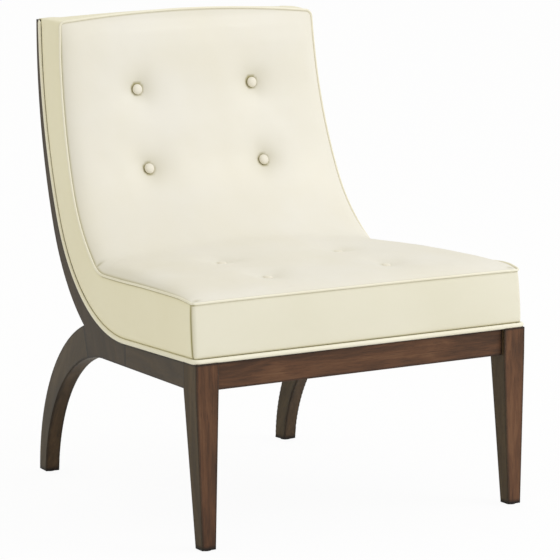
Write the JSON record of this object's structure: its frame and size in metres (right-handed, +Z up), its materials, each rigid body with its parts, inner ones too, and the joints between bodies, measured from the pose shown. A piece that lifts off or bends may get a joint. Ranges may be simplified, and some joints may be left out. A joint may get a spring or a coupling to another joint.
{
  "type": "armless lounge chair",
  "caption": "Armless lounge chair with a button-tufted cream leather shell on a dark walnut frame with swept side rails and arched rear legs.",
  "frame": {"origin": "on the floor, under the middle of the overall box", "axes": "+X to the right seen from the front, -Y the way the chair faces, +Z up"},
  "size_m": [0.6832, 0.6993, 0.8627],
  "materials": {
    "walnut": "dark walnut, satin lacquer, straight grain along each piece",
    "inner_timber": "plain sanded hardwood, no finish",
    "dowel_wood": "fluted beech, glued",
    "plywood": "sanded plywood, no finish",
    "face_leather": "smooth cream leather, soft sheen",
    "panel_leather": "smooth cream leather, soft sheen",
    "welt_leather": "smooth cream leather over cord",
    "button_leather": "smooth cream leather over a metal shell",
    "foam": "cut polyurethane foam",
    "felt": "grey needled felt",
    "webbing": "woven jute webbing",
    "black_cloth": "black non-woven cloth",
    "twine": "waxed tufting twine",
    "glide_nylon": "dark brown nylon",
    "spring_steel": "bright spring wire",
    "screw_steel": "zinc plated"
  },
  "bodies": {
    "root": {"back_button_lower_left": "button_leather", "back_button_lower_right": "button_leather", "back_button_upper_left": "button_leather", "back_button_upper_right": "button_leather", "back_deck_felt": "felt", "back_foam": "foam", "back_stile_left": "walnut", "back_stile_right": "walnut", "back_tuft_twines": "twine", "back_webbing_1": "webbing", "back_webbing_2": "webbing", "back_webbing_3": "webbing", "back_webbing_4": "webbing", "back_webbing_5": "webbing", "base_welt": "welt_leather", "block_screws": "screw_steel", "corner_block_front_left": "inner_timber", "corner_block_front_right": "inner_timber", "corner_block_rear_left": "inner_timber", "corner_block_rear_right": "inner_timber", "dust_cover": "black_cloth", "foot_glides": "glide_nylon", "frame_dowels": "dowel_wood", "front_apron": "walnut", "front_boxing": "panel_leather", "front_leg_left": "walnut", "front_leg_right": "walnut", "front_seam_welt": "welt_leather", "inside_back_leather": "face_leather", "outside_back_leather": "panel_leather", "panel_welt": "welt_leather", "rear_leg_left": "walnut", "rear_leg_right": "walnut", "rear_seat_rail": "inner_timber", "seat_button_front_left": "button_leather", "seat_button_front_right": "button_leather", "seat_button_rear_left": "button_leather", "seat_button_rear_right": "button_leather", "seat_deck_felt": "felt", "seat_foam": "foam", "seat_leather": "face_leather", "seat_spring_1": "spring_steel", "seat_spring_2": "spring_steel", "seat_spring_3": "spring_steel", "seat_spring_4": "spring_steel", "seat_spring_5": "spring_steel", "seat_tuft_twines": "twine", "shell_front_rail": "plywood", "shell_lumbar_rail": "plywood", "shell_side_left": "plywood", "shell_side_right": "plywood", "shell_top_rail": "plywood", "side_boxing_left": "panel_leather", "side_boxing_right": "panel_leather", "side_rail_left": "walnut", "side_rail_right": "walnut", "spring_clips": "spring_steel", "top_boxing": "panel_leather"}
  },
  "joints": []
}
